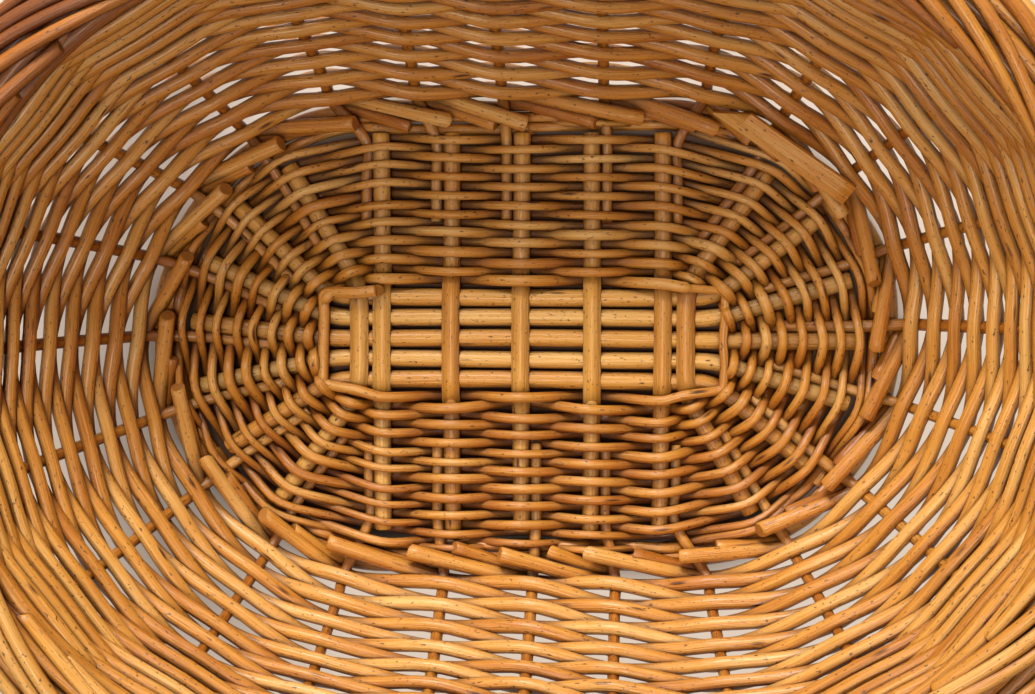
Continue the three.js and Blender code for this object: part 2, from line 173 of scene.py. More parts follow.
def evenly(points, step):
    """The same line with a point about every step."""
    run = lengths(points)
    marks = np.linspace(0, run[-1], max(int(run[-1] / step), 2) + 1)
    return np.column_stack([np.interp(marks, run, axis) for axis in np.asarray(points).T])


def circle(sides):
    turn = 2 * np.pi * np.arange(sides) / sides
    return np.column_stack([np.cos(turn), np.sin(turn)])


def rounded_box(width, height, corner, steps):
    """A rectangle with rounded corners, counterclockwise."""
    points = []
    for quarter, (sx, sy) in enumerate(((1, 1), (-1, 1), (-1, -1), (1, -1))):
        for turn in np.linspace(quarter, quarter + 1, steps) * math.pi / 2:
            points.append([sx * (width / 2 - corner) + corner * math.cos(turn),
                           sy * (height / 2 - corner) + corner * math.sin(turn)])
    return np.array(points)


ROUND = circle(10)
HALF_ROUND = np.vstack([[math.cos(a), math.sin(a)] for a in np.linspace(0, math.pi, 9)])
BEVEL = 0.15  # length of the bevel at a rod's end, in radii
BEVEL_END = 0.86  # size of the cut end, in radii
STEEP = 0.8  # a rod that climbs more than this takes its section's direction from X
GRAIN_RUN = 4000  # length of the grain in which rods start at random


# Pieces

class Rods:
    """Gathers rods into one mesh. Each vertex keeps its place in the grain, its rod's tone, if it is a cut,
    and how far it is shaded by the rods over it."""

    def __init__(self):
        self.points, self.faces, self.grain, self.tone, self.cut, self.shade = [], [], [], [], [], []
        self.count = 0

    def put(self, points, faces, grain, tone, cut, shade=0.0):
        self.points.append(points)
        self.faces += [[self.count + i for i in face] for face in faces]
        self.grain.append(grain)
        for values, value in ((self.tone, tone), (self.cut, cut), (self.shade, shade)):
            values.append(np.broadcast_to(np.asarray(value, float), len(points)))
        self.count += len(points)

    def add(self, points, radius, tone, section=ROUND, side=None, slant=(0, 0), closed=False, shade=0.0):
        """Sweeps a section along points. Side is its first direction, and slant tilts the cut ends."""
        p = np.asarray(points, float)
        r = np.broadcast_to(np.asarray(radius, float), len(p)).copy()
        dim, hue = (np.broadcast_to(np.asarray(value, float), len(p)) for value in (shade, tone))
        if not closed:
            dim, hue = (np.concatenate([value[:1], value, value[-1:]]) for value in (dim, hue))
            first = p[0] + unit(p[1] - p[0]) * BEVEL * r[0]
            last = p[-1] + unit(p[-2] - p[-1]) * BEVEL * r[-1]
            p = np.vstack([p[:1], first, p[1:-1], last, p[-1:]])
            r = np.concatenate([r[:1] * BEVEL_END, r[:1], r[1:-1], r[-1:], r[-1:] * BEVEL_END])
        ring = np.vstack([p[-1:], p, p[:1]]) if closed else None
        heading = unit(ring[2:] - ring[:-2]) if closed else unit(np.gradient(p, axis=0))
        if side is None:
            hint = np.array([0, 0, 1.0]) if abs(heading[0][2]) < STEEP else np.array([1.0, 0, 0])
            across = np.empty_like(p)
            for i, h in enumerate(heading):
                hint = unit(hint - h * hint.dot(h))
                across[i] = hint
        else:
            side = np.broadcast_to(np.asarray(side, float), p.shape)
            across = unit(side - heading * np.sum(side * heading, axis=1, keepdims=True))
        up = np.cross(heading, across)
        a = r[:, None, None] * section[None, :, :1]
        b = r[:, None, None] * section[None, :, 1:]
        rings = p[:, None, :] + a * across[:, None, :] + b * up[:, None, :]
        rings[:2] += heading[0] * slant[0] * a[1]
        rings[-2:] += heading[-1] * slant[1] * a[-2]
        along = np.broadcast_to(lengths(p)[:, None, None] + rng.uniform(0, GRAIN_RUN), a.shape)
        grain = np.concatenate([along, a, b], axis=2)
        n, m = rings.shape[:2]
        faces = []
        for i in range(n if closed else n - 1):
            j = (i + 1) % n
            faces += [(i * m + k, i * m + (k + 1) % m, j * m + (k + 1) % m, j * m + k) for k in range(m)]
        self.put(rings.reshape(-1, 3), faces, grain.reshape(-1, 3), np.repeat(hue, m), 0.0,
                 np.repeat(dim, m))
        if not closed:
            self.put(rings[0], [list(range(m))[::-1]], grain[0], hue[0], 1.0)
            self.put(rings[-1], [list(range(m))], grain[-1], hue[-1], 1.0)

    def piece(self, name, material, slot, body, nodes):
        mesh = bpy.data.meshes.new(name)
        mesh.from_pydata(np.vstack(self.points) * MM, [], self.faces)
        for key, kind, values in (("grain", "FLOAT_VECTOR", np.vstack(self.grain)),
                                  ("tone", "FLOAT", np.concatenate(self.tone)),
                                  ("cut", "FLOAT", np.concatenate(self.cut)),
                                  ("shade", "FLOAT", np.concatenate(self.shade))):
            layer = mesh.attributes.new(key, kind, "POINT")
            field = "vector" if kind == "FLOAT_VECTOR" else "value"
            layer.data.foreach_set(field, values.astype(np.float32).ravel())
        mesh.polygons.foreach_set("use_smooth", np.ones(len(mesh.polygons), bool))
        piece = bpy.data.objects.new(name, mesh)
        bpy.context.scene.collection.objects.link(piece)
        mesh.materials.append(material)
        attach(piece, body)
        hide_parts(*nodes)
        return piece


# Materials

SRGB_KNEE = 0.04045


def linear(*screen):
    """A colour in scene values from 0 to 255 screen values, by the sRGB curve."""
    shares = [value / 255 for value in screen]
    curve = [c / 12.92 if c < SRGB_KNEE else ((c + 0.055) / 1.055) ** 2.4 for c in shares]
    return (*curve, 1.0)


class Nodes:
    """Short ways to make and link the nodes of a material, or of the world."""

    def __init__(self, name, kind="materials", shader="Principled BSDF"):
        self.material = getattr(bpy.data, kind).new(name)
        self.material.use_nodes = True
        self.tree = self.material.node_tree
        self.shader = self.tree.nodes[shader]

    def feed(self, socket, value):
        if hasattr(value, "links"):
            self.tree.links.new(value, socket)
        else:
            socket.default_value = value

    def node(self, kind, inputs=(), **settings):
        node = self.tree.nodes.new(kind)
        for key, value in settings.items():
            setattr(node, key, value)
        for key, value in dict(inputs).items():
            self.feed(node.inputs[key], value)
        return node

    def attribute(self, name, output):
        return self.node("ShaderNodeAttribute", attribute_name=name).outputs[output]

    def scaled(self, vector, scale):
        return self.node("ShaderNodeVectorMath", {0: vector, 1: scale}, operation="MULTIPLY").outputs[0]

    def noise(self, vector, scale, detail=3.0, roughness=0.55):
        inputs = {"Vector": self.scaled(vector, scale), "Scale": 1.0, "Detail": detail,
                  "Roughness": roughness}
        return self.node("ShaderNodeTexNoise", inputs).outputs["Fac"]

    def cells(self, vector, scale):
        inputs = {"Vector": self.scaled(vector, scale), "Scale": 1.0}
        return self.node("ShaderNodeTexVoronoi", inputs).outputs["Distance"]

    def math(self, operation, *values):
        return self.node("ShaderNodeMath", dict(enumerate(values)), operation=operation).outputs[0]

    def total(self, *terms):
        """The sum of values, each with its weight."""
        result = None
        for value, weight in terms:
            part = self.math("MULTIPLY", value, weight)
            result = part if result is None else self.math("ADD", result, part)
        return result

    def ramp(self, fac, stops):
        node = self.node("ShaderNodeValToRGB", {"Fac": fac})
        ramp = node.color_ramp
        while len(ramp.elements) < len(stops):
            ramp.elements.new(0.5)
        for element, (position, color) in zip(ramp.elements, stops):
            element.position = position
            element.color = color
        return node.outputs["Color"]

    def range(self, value, low, high, to_low, to_high):
        inputs = {"Value": value, "From Min": low, "From Max": high, "To Min": to_low, "To Max": to_high}
        return self.node("ShaderNodeMapRange", inputs).outputs["Result"]

    def mix(self, fac, a, b):
        node = self.node("ShaderNodeMix", data_type="RGBA")
        for socket, value in zip((node.inputs["Factor"], node.inputs[6], node.inputs[7]), (fac, a, b)):
            self.feed(socket, value)
        return node.outputs[2]

    def set(self, **inputs):
        for key, value in inputs.items():
            self.feed(self.shader.inputs[key.replace("_", " ")], value)
        return self.material

    def seen(self):
        """1 where the camera looks straight at the surface, or in a reflection or through glass."""
        ray = self.node("ShaderNodeLightPath").outputs
        return self.math("MAXIMUM", ray["Is Camera Ray"],
                         self.math("MAXIMUM", ray["Is Glossy Ray"], ray["Is Transmission Ray"]))

    def bump(self, height, distance):
        inputs = {"Height": height, "Distance": distance, "Strength": 1.0}
        return self.node("ShaderNodeBump", inputs).outputs["Normal"]


SCAR_BROWN = linear(78, 38, 12)
# Colours of painted shade: from the shade attribute, and from ambient occlusion in the crevices
SHADE_BROWN = linear(66, 20, 0)
CREVICE_SHADE_BROWN = linear(72, 20, 0)
CREVICE_SHADE_REACH = 0.006


def willow(name, dark, middle, light, pale, cut_color, gloss):
    """Varnished willow: streaks, blotches, bud scars and specks along each rod, browned cut ends, and painted
    shade from the shade attribute and in the crevices.
    """
    n = Nodes(name)
    grain = n.attribute("grain", "Vector")
    streak = n.noise(grain, (0.03, 1.3, 1.3), 4.0, 0.6)
    fine = n.noise(grain, (0.09, 4.2, 4.2), 2.0)
    blotch = n.noise(grain, (0.016, 0.12, 0.12), 3.0)
    value = n.total((n.attribute("tone", "Fac"), 0.4), (blotch, 0.4), (streak, 0.4), (fine, 0.14))
    color = n.ramp(value, [(0.36, dark), (0.56, middle), (0.72, light), (0.94, pale)])
    bud = n.range(n.cells(grain, (0.028, 0.17, 0.17)), 0.05, 0.13, 1.0, 0.0)
    specks = n.range(n.noise(grain, (0.5, 1.05, 1.05), 2.0), 0.63, 0.7, 0.0, 0.9)
    color = n.mix(n.math("MAXIMUM", bud, specks), color, SCAR_BROWN)
    # Painted shade, as much as the shade attribute gives
    color = n.mix(n.math("MULTIPLY", n.attribute("shade", "Fac"), 0.75), color, SHADE_BROWN)
    color = n.mix(n.attribute("cut", "Fac"), color, n.mix(fine, cut_color, light))
    # Painted shade: ambient occlusion darkens the colour in the crevices between rods
    crevice_shade = n.node("ShaderNodeAmbientOcclusion", {"Distance": CREVICE_SHADE_REACH}, samples=4).outputs["AO"]
    color = n.mix(n.range(crevice_shade, 0.15, 0.84, 0.88, 0.0), color, CREVICE_SHADE_BROWN)
    height = n.total((streak, 1.0), (fine, 0.5), (bud, 0.8))
    return n.set(Base_Color=color, Roughness=n.range(streak, 0.3, 0.7, gloss, gloss + 0.16),
                 Normal=n.bump(height, 0.0005), Coat_Weight=0.22, Coat_Roughness=0.22)


def tanned(name, dark, light):
    """Vegetable tanned leather: fine grain, blotches, creases across the strap and burnished edges."""
    n = Nodes(name)
    grain = n.attribute("grain", "Vector")
    pebble = n.cells(grain, (1.15, 1.15, 1.15))
    crease = n.noise(grain, (0.55, 0.06, 0.06), 3.0)
    blotch = n.noise(grain, (0.07, 0.09, 0.09), 4.0)
    color = n.ramp(n.total((blotch, 0.75), (pebble, 0.25)), [(0.3, dark), (0.75, light)])
    color = n.mix(n.attribute("cut", "Fac"), color, linear(52, 27, 14))
    height = n.total((pebble, 0.7), (crease, 0.5))
    return n.set(Base_Color=color, Roughness=n.range(blotch, 0.3, 0.7, 0.5, 0.66),
                 Normal=n.bump(height, 0.0003), Coat_Weight=0.08, Coat_Roughness=0.35)


def metal(name):
    """Nickelled steel with fine drawing lines and dull patches."""
    n = Nodes(name)
    grain = n.attribute("grain", "Vector")
    lines = n.noise(grain, (0.12, 5.5, 5.5), 3.0)
    dull = n.noise(grain, (0.2, 0.3, 0.3), 4.0)
    color = n.ramp(dull, [(0.3, linear(176, 172, 162)), (0.7, linear(208, 206, 200))])
    wear = n.total((dull, 0.6), (lines, 0.4))
    return n.set(Base_Color=color, Metallic=1.0, Roughness=n.range(wear, 0.3, 0.7, 0.2, 0.42),
                 Normal=n.bump(lines, 0.00006))


WEAVE = willow("willow_weave", linear(127, 66, 7), linear(180, 107, 26), linear(213, 146, 55),
               linear(241, 197, 122), linear(140, 84, 36), 0.3)
STICKS = willow("willow_sticks", linear(164, 92, 18), linear(208, 137, 46), linear(230, 167, 70),
                linear(246, 198, 114), linear(150, 96, 42), 0.28)
LEATHER = tanned("leather", linear(74, 36, 16), linear(118, 64, 30))
STEEL = metal("nickelled_steel")


# Base: long sticks and split cross sticks, woven round with fine rods

RIGHT_STAKE, BACK_STAKE, LEFT_STAKE = 6, 12, 18  # the middle stakes of the ends and the back
FAN_BEND = 9.0
LONG_RUN = SPINE + OPEN
BACK_REACH = 4.0  # how far the cross sticks pass the base's edge at the back
LEAVES_APART = 17.0  # half the length over which a cross stick's leaves are fully spread
LEAVES_CLOSE = 16.0  # length over which they come together again
LEAF_GAP = 0.35
LEAF_SWELL = 0.3
SPOKE_INNER = 0.8
LONG_STEP, CROSS_STEP = 4.0, 2.5
SWAY_LENGTH = (22, 40)
LONG_SWAY, CROSS_SWAY = 0.35, 0.3


def cross_x(i):
    steps = min(abs(i), 2)
    return math.copysign(steps * CROSS_PITCH + (PAIR if abs(i) > 2 else 0), i)


def fan_run(stake, start):
    """End of a stick that fans out from start towards its stake, and of the stake's tail beside it."""
    tail = at(stake_u(stake), EDGE, MID)
    aim = unit(tail - start)
    return tail - TAIL_OFFSET * np.array([-aim[1], aim[0], 0]), tail


def straight_run(start, side):
    """End of a stick that runs straight on from start, and of the tail on its left or right."""
    end = start.copy()
    end[1] = SHIFT + (EDGE + BACK_REACH if start[1] > SHIFT else -EDGE)
    return end, end + np.array([side * TAIL_OFFSET, 0, 0])


spokes, tails = {}, {}


def lay_spoke(stake, inner, start, run):
    end, tail = run
    spokes[stake % STAKES] = np.array([inner, start, end])
    tails[stake % STAKES] = tail
    return end


def swayed(path, amount):
    """The line with a slow sideways sway, as no stick is quite straight."""
    heading = unit(path[-1] - path[0])
    side = np.array([-heading[1], heading[0], 0])
    run = lengths(path)
    wave = np.sin(run / rng.uniform(*SWAY_LENGTH) + rng.uniform(0, 6)) * amount
    return path + wave[:, None] * side


def leaf_lift(y):
    """How far each leaf of a split cross stick is spread from its middle at a place along it."""
    away = np.clip((np.abs(y - SHIFT) - LEAVES_APART) / LEAVES_CLOSE, 0, 1)
    return (STICK + LEAF_GAP) * (1 - away ** 2 * (3 - 2 * away))


sticks = Rods()
for i in range(-2, 3):
    y = i * STICK_PITCH + SHIFT
    ends = []
    for stake, side in ((LEFT_STAKE - i, -1), (RIGHT_STAKE + i, 1)):
        start = np.array([side * LONG_RUN, y, MID])
        inner = start - np.array([side * OPEN, 0, 0])
        ends += [lay_spoke(stake, inner, start, fan_run(stake, start)), start]
    path = evenly(bent([ends[0], ends[1], ends[3], ends[2]], [0, FAN_BEND, FAN_BEND, 0]), LONG_STEP)
    sticks.add(swayed(path, LONG_SWAY), STICK * rng.uniform(1.05, 1.12), rng.uniform(0.4, 0.9),
               section=circle(14))
for i in range(-3, 4):
    x = cross_x(i)
    ends = []
    for stake, way in ((i, -1), (BACK_STAKE - i, 1)):
        start = np.array([x, SHIFT + way * OPEN, MID])
        inner = np.array([x, SHIFT + way * SPOKE_INNER * OPEN, MID])
        run = fan_run(stake, start) if abs(i) == 3 else straight_run(start, np.sign(i) or -way)
        ends += [lay_spoke(stake, inner, start, run), start]
    path = evenly(bent([ends[0], ends[1], ends[3], ends[2]], [0, FAN_BEND, FAN_BEND, 0]), CROSS_STEP)
    lift = leaf_lift(path[:, 1])
    path = swayed(path, CROSS_SWAY)
    tone = rng.uniform(0.2, 0.75)
    size = STICK * rng.uniform(1.08, 1.16)
    for flip in (1, -1):
        leaf = path.copy()
        leaf[:, 2] += flip * lift
        sticks.add(leaf, size, tone, section=HALF_ROUND * [1, flip * (LEAF + LEAF_SWELL) / STICK],
                   side=(1, 0, 0))
sticks.piece("base_sticks", STICKS, "base_sticks", "basket",
             [f"long_stick_{i}" for i in range(1, 6)] + [f"cross_stick_{i}" for i in range(1, 8)])


SPOKE_OVERRUN = 1.12


def spoke_at(stake, radius, square):
    """The point on a spoke that lies a distance out from the spine, or from the spine's end along X."""
    inner, start, end = spokes[stake % STAKES]
    run = np.vstack([inner + (start - inner) * t for t in np.linspace(0, 1, 30, endpoint=False)] +
                    [start + (end - start) * t for t in np.linspace(0, SPOKE_OVERRUN, 90)])
    reach = np.hypot(np.maximum(np.abs(run[:, 0]) - SPINE, 0), 0 if square else run[:, 1] - SHIFT)
    order = np.maximum.accumulate(reach + np.arange(len(run)) * 1e-6)
    return np.array([np.interp(radius, order, run[:, c]) for c in range(3)])


ROW = 3.54
ROW_FIRST = 23.4
ROW_START = -10
ROW_JITTER = 0.4
ROUNDS = 8.05
ENDS_APART = 11  # stakes between the places where the two weavers end
ROD_SPOKES = (17, 26)
BASE_STEPS = 8
BASE_THICK = {"butt": (4.2, 4.8), "tip": (3.3, 3.8)}
BASE_TAPER = ([30, 84], [1.04, 0.86])
OVER_LIFT = 0.85
LEAF_SHARE = 0.7
END_SPREAD = 0.055  # how much wider the rows lie at the ends of the oval, and at its front
FRONT_SPREAD = 0.045
GATHER = 3.4  # how much closer the first rows lie to the long sticks at the back

# Base rods get painted light towards the back, a painted highlight on their crests, and painted shade in the
# hollows
BASE_TONE = (0.25, 0.62)
BACK_PAINTED_LIGHT = 0.35
CREST_HIGHLIGHT = {"tone": 0.2, "low": 8.5, "rise": 4.0}
HOLLOW_SHADE = {"high": 11.5, "drop": 8.0}

PAIRED = 27.0  # out to here neighbouring outer sticks count as one
LONG_GROUPS = set(range(4, 9)) | set(range(16, 21))
PAIR_PARTNER = {3: 2, 9: 10, 15: 14, 21: 22}


def base_row(first, last, start_radius, parity, thickness):
    """Line of a base rod over and under the spokes from first to last, and its radius at each point."""
    tops, radii = [], []
    for j in range(first, last + 1):
        radius = start_radius + 2 * ROW * max(j, 0) / STAKES + rng.normal(0, ROW_JITTER)
        stake = j % STAKES
        over = (j + parity) % 2 == 0
        slath = radius < PAIRED and stake in LONG_GROUPS
        if slath:
            over = parity == 0
        elif radius < PAIRED and stake in PAIR_PARTNER:
            over = (PAIR_PARTNER[stake] + parity) % 2 == 0
        out = place(stake_u(j))[1]
        if radius > PAIRED:
            radius *= 1 + END_SPREAD * abs(out[0]) + FRONT_SPREAD * max(-out[1], 0)
        if not slath:
            radius -= GATHER * max(out[1], 0) * np.clip((EDGE - radius) / (EDGE - ROW_FIRST), 0, 1)
        r = np.interp(j, [first, last], thickness) / 2 * np.interp(radius, *BASE_TAPER)
        top = spoke_at(j, radius, slath)
        if over:
            top[2] += STICK + OVER_LIFT * r + (0 if slath else LEAF_SHARE * leaf_lift(top[1]))
        else:
            top[2] += r - MID
        tops.append(top)
        radii.append(r)
    path = []
    for low, high in zip(tops[:-1], tops[1:]):
        for t in np.linspace(0, 1, BASE_STEPS, endpoint=False):
            point = low + (high - low) * t
            point[2] = low[2] + (high[2] - low[2]) * t * t * (3 - 2 * t)
            path.append(point)
    path = relaxed(path + tops[-1:], 2)
    return path, np.interp(np.arange(len(path)) / BASE_STEPS, range(len(radii)), radii)


base = Rods()
for parity in (0, 1):
    j = ROW_START + parity
    end = parity * ENDS_APART + int(ROUNDS * STAKES)
    while j < end:
        stop = min(j + int(rng.integers(*ROD_SPOKES)), end)
        stop += (stop + parity) % 2 == 0
        thick = rng.uniform(*BASE_THICK["butt"]), rng.uniform(*BASE_THICK["tip"])
        path, radii = base_row(j, stop, ROW_FIRST + ROW * parity, parity, thick)
        # Random tone, plus painted light towards the back and a painted highlight on the crests
        tone = rng.uniform(*BASE_TONE) + BACK_PAINTED_LIGHT * np.clip((path[:, 1] - SHIFT) / EDGE, 0, 1)
        tone += CREST_HIGHLIGHT["tone"] * np.clip((path[:, 2] - CREST_HIGHLIGHT["low"]) / CREST_HIGHLIGHT["rise"], 0, 1)
        base.add(path, radii, tone, slant=(rng.uniform(-1, 1), rng.uniform(-1, 1)))
        j = stop
for points in base.points:
    points[:, 2] = np.maximum(points[:, 2], 0)
# Painted shade: the lower a point lies, the darker
base.shade = [np.clip((HOLLOW_SHADE["high"] - points[:, 2]) / HOLLOW_SHADE["drop"], 0, 1) for points in base.points]
base.piece("base_rods", WEAVE, "willow", "basket", ["base_weave"])


# Stakes: a tail beside a base stick, then up through the wall into the border

STAKE_MARKS = np.linspace(3, SLANT + 5, 10)
TAIL_TONE = ([10, 15], [0.3, 0])  # paler in the tail, by points of the line

stakes = Rods()
for j in range(STAKES):
    heading = unit(spokes[j][2] - spokes[j][1])
    path = [tails[j] - heading * TAIL * t for t in (1, 0.5, 0.1)]
    path += [beside_wall(stake_u(j), slant, 0) for slant in STAKE_MARKS]
    path = smooth(path, 5)
    tone = rng.uniform(0.1, 0.5) + np.interp(np.arange(len(path)), *TAIL_TONE)
    stakes.add(path, STAKE * rng.uniform(1.04, 1.18), tone, slant=(rng.uniform(-0.5, 0.5), 0))
stakes.piece("side_stakes", WEAVE, "willow", "basket", [f"stake_{i:02d}" for i in range(1, STAKES + 1)])


# Wall: one tapering rod from each stake, in and out, rising as it goes round

# How far up the wall a rod has climbed after a number of stakes, and its thickness there
LEVEL_STAKES = [0, 4, 8, 12, 16, 20, 24, 26]
LEVEL_SLANTS = [-2, 21.5, 44.3, 65.2, 83.5, 98.5, 110, 115]
LEVEL_FIT = np.polyfit(LEVEL_STAKES, LEVEL_SLANTS, 4)
THICK = ([0, 3, 6, 12, 18, 24], [6.1, 6.0, 5.7, 4.9, 4.0, 3.3])
WAVE = 0.74  # share of the full depth to which a rod passes in and out
SHARP = 0.97  # how near to a zigzag a rod's wave is
START = -0.28  # in stakes from the rod's own
LAST = 24.6
STEP = 0.125
OUTSIDE_SHADE = 0.85
LEVEL_JITTER = 0.3
LEVEL_MARKS = 40
BUTT = {"thick": (5.9, 7.1), "worn": 5.4, "taper": 1.5, "free": 0.95}

# The cut ends at the wall's foot, the short rods between them, and the three rounds under these
HEEL_RADIUS = 86.5
HEEL_HEIGHT = 15.5
UPSETT = {"heel": 12.0, "radius": 97.0, "height": 5.0, "size": (2.9, 2.5)}
FOOT_RINGS = ((85.2, 0), (89.4, 2), (93.4, 1))  # distance out and first stake
RING = {"stakes": 4, "reach": 4.2, "height": 4.7, "wave": 1.7, "sway": 0.7, "size": (2.6, 2.0)}


def in_and_out(k):
    """From 1 inside a stake to -1 outside the next one, nearly straight between them."""
    return math.asin(SHARP * math.cos(math.pi * k)) / math.asin(SHARP)


side = Rods()
for i in range(STAKES):
    start = START + rng.uniform(-0.1, 0.08)
    steps = np.arange(start, LAST, STEP)
    rise = rng.normal(0, LEVEL_JITTER, LEVEL_MARKS)
    butt = rng.uniform(*BUTT["thick"])
    thick = np.interp(steps, *THICK) * rng.uniform(0.94, 1.06)
    worn = np.clip((steps - start) / BUTT["taper"], 0, 1)
    thick = np.maximum(thick, butt - (butt - BUTT["worn"]) * worn)
    wave = np.array([in_and_out(k) for k in steps])
    level = np.polyval(LEVEL_FIT, steps) + np.interp(steps, range(LEVEL_MARKS), rise)
    offset = -(STAKE + thick / 2) * WAVE * wave
    path = np.array([beside_wall(stake_u(i + k), *spot) for k, *spot in zip(steps, level, offset)])
    free = np.count_nonzero(steps < BUTT["free"])
    heel = at(stake_u(i + start), HEEL_RADIUS + rng.normal(0, 0.9), HEEL_HEIGHT)
    path[:free] = heel + (path[free] - heel) * np.linspace(0, 1, free, endpoint=False)[:, None]
    side.add(relaxed(path, 3), thick / 2, rng.uniform(0.4, 0.75), slant=(rng.uniform(-0.7, 0.7), 0.5),
             shade=np.maximum(-wave, 0) * OUTSIDE_SHADE)
for i in range(STAKES):
    start = rng.uniform(0.05, 0.3)
    heel = at(stake_u(i + start), HEEL_RADIUS + rng.normal(0, 0.8), UPSETT["heel"])
    tip = at(stake_u(i + 1), UPSETT["radius"], UPSETT["height"])
    path = heel + (tip - heel) * np.linspace(0, 1, 9)[:, None]
    side.add(path, np.linspace(*UPSETT["size"], len(path)), rng.uniform(0.1, 0.6),
             slant=(rng.uniform(-0.6, 0.6), 0))
for radius, first in FOOT_RINGS:
    for i in range(first, first + STAKES, RING["stakes"]):
        steps = np.arange(i - 0.3, i + RING["reach"], STEP)
        sway = np.interp(steps, range(i - 1, i + 6), rng.normal(0, RING["sway"], 7))
        height = RING["height"] - RING["wave"] * np.cos(2 * np.pi * steps)
        path = [at(stake_u(k), radius + s, z) for k, s, z in zip(steps, sway, height)]
        side.add(path, np.linspace(*RING["size"], len(path)), rng.uniform(0.2, 0.7),
                 slant=(rng.uniform(-0.6, 0.6), 0.5))

# The flat split of rod that lies on the wall's foot at the upper right
SPLIT_ENDS = np.array([[129.2, 57.9, 20.5], [83.2, 90.0, 20.5]])
SPLIT_SECTION = rounded_box(9.4, 2.6, 0.5, 3)
SPLIT_SIDE = (0.57, 0.82, 0.6)
split = evenly(SPLIT_ENDS + [0, SHIFT, 0], 6.0)
side.add(split, 1.0, 0.6, section=SPLIT_SECTION, side=SPLIT_SIDE, slant=(0, -1.3))
side.piece("wall_rods", WEAVE, "willow", "basket", ["side_weave"])


# Border: stakes and side rods laid down clockwise, under and out, then over the top to the inside

BORDER_RODS = 48
BORDER_SPAN = 4.83
BORDER_TURN = (math.radians(-144), math.radians(204))
BORDER_START = SLANT - 8
# Painted light on the border's front, and painted shade at its far left corner
FRONT_LIGHT_TONE = 0.3
CORNER_SHADE_TONE = 0.55
SHADED_SIDE = np.array([-0.8, 0.8, 0])
CORE_RADIUS = 3.3
CORE_TONE = 0.5
CORE_RINGS = [(3.5, -0.5), (4.5, 6.0)] + [(BORDER["rise"], offset) for offset in (3.5, 10.0, 16.5)]


def corner_shade(u):
    """How much painted shade darkens the border at a place along it, most at the far left corner."""
    return CORNER_SHADE_TONE * max(place(u)[1] @ SHADED_SIDE, 0)


border = Rods()
for rod in range(BORDER_RODS):
    k = rod / 2 + rng.uniform(-0.1, 0.1)
    span = BORDER_SPAN + rng.uniform(-0.3, 0.3)
    thick = rng.uniform(2.3, 2.9)
    phase = BORDER_TURN[1] + rng.uniform(-0.25, 0.12)
    path = [beside_wall(stake_u(k), BORDER_START, 0)]
    for t in np.linspace(0, 1, 40):
        turn = BORDER_TURN[0] + (phase - BORDER_TURN[0]) * t
        offset = BORDER["out"] + (BORDER["width"] / 2 - thick) * math.cos(turn)
        slant = SLANT + BORDER["rise"] + (BORDER["height"] / 2 - thick) * math.sin(turn)
        path.append(beside_wall(stake_u(k - span * t), slant, offset))
    path = smooth(path, 2)
    middle = stake_u(k - span / 2)
    # Random tone, with painted light at the front and painted shade at the far left corner
    tone = rng.uniform(0.2, 0.8) + FRONT_LIGHT_TONE * max(-place(middle)[1][1], 0) - corner_shade(middle)
    border.add(path, np.interp(np.linspace(0, 1, len(path)), [0, 0.2, 1], [2.0, thick, thick * 0.92]),
               tone, slant=(0, rng.uniform(-0.6, 0.6)))
for rise, offset in CORE_RINGS:
    marks = np.linspace(0, SPREAD, 120, endpoint=False)
    ring = [beside_wall(u, SLANT + rise, offset) for u in marks]
    border.add(ring, CORE_RADIUS, [CORE_TONE - corner_shade(u) for u in marks], closed=True)
border.piece("border_rods", WEAVE, "willow", "basket", ["rim_border"])


# Straps: each goes through the wall twice and round the bar, and is buckled on its outer side

STRAP = {"width": 18.0, "thick": 2.4, "gap": 0.35, "stakes": 1.5, "standoff": 12.0}
WIRE = 1.5
BUCKLE = {"high": 80.0, "low": 62.0, "side": 1.7, "corner": 4.0}
KEEPER = {"low": 82.2, "width": 5.0, "wall": 1.6, "corner": 1.2}
WALL_RODS = (5.3, 2.7)  # thickness of the wall's rods at its foot and rim
LEG = BORDER_REACH + STRAP["standoff"]
WRAP = WIRE + STRAP["gap"] + STRAP["thick"] / 2
BAR = LEG + WRAP
FOLD = LEG + 2 * WRAP
STRAP_TAIL = FOLD + STRAP["thick"] + STRAP["gap"]
PLAIN_TONE = 0.5  # leather and steel don't use the tone


def inside_wall(slant):
    thick = STAKE + WALL_RODS[0] + (WALL_RODS[1] - WALL_RODS[0]) * slant / SLANT
    return wall_point(slant, -thick - STRAP["gap"] - STRAP["thick"] / 2)


# The strap's line from its folded end to its tail, as distances out and heights, with the bend at each point
ROLL = BUCKLE["high"] - WRAP
FOLD_END = 90.0
LEG_TOP, LEG_FOOT = 101.0, 46.0
THROUGH = (98.0, 83.0)  # up the wall's slope
TONGUE_FOOT = 67.0
TAIL_TOP, TAIL_END = 94.0, 108.0
LEG_BEND, SMALL_BEND = 12, 4
STRAP_LINE = [
    ((FOLD, FOLD_END), 0), ((FOLD, ROLL), WRAP), ((LEG, ROLL), WRAP), ((LEG, LEG_TOP), LEG_BEND),
    (inside_wall(THROUGH[0]), SMALL_BEND), (inside_wall(THROUGH[1]), SMALL_BEND),
    ((LEG, LEG_FOOT), LEG_BEND), ((LEG, TONGUE_FOOT), SMALL_BEND),
    ((STRAP_TAIL, ROLL - STRAP["thick"]), SMALL_BEND), ((STRAP_TAIL, TAIL_TOP), SMALL_BEND),
    ((LEG, TAIL_END), 0)]
STRAP_STEP = 1.6

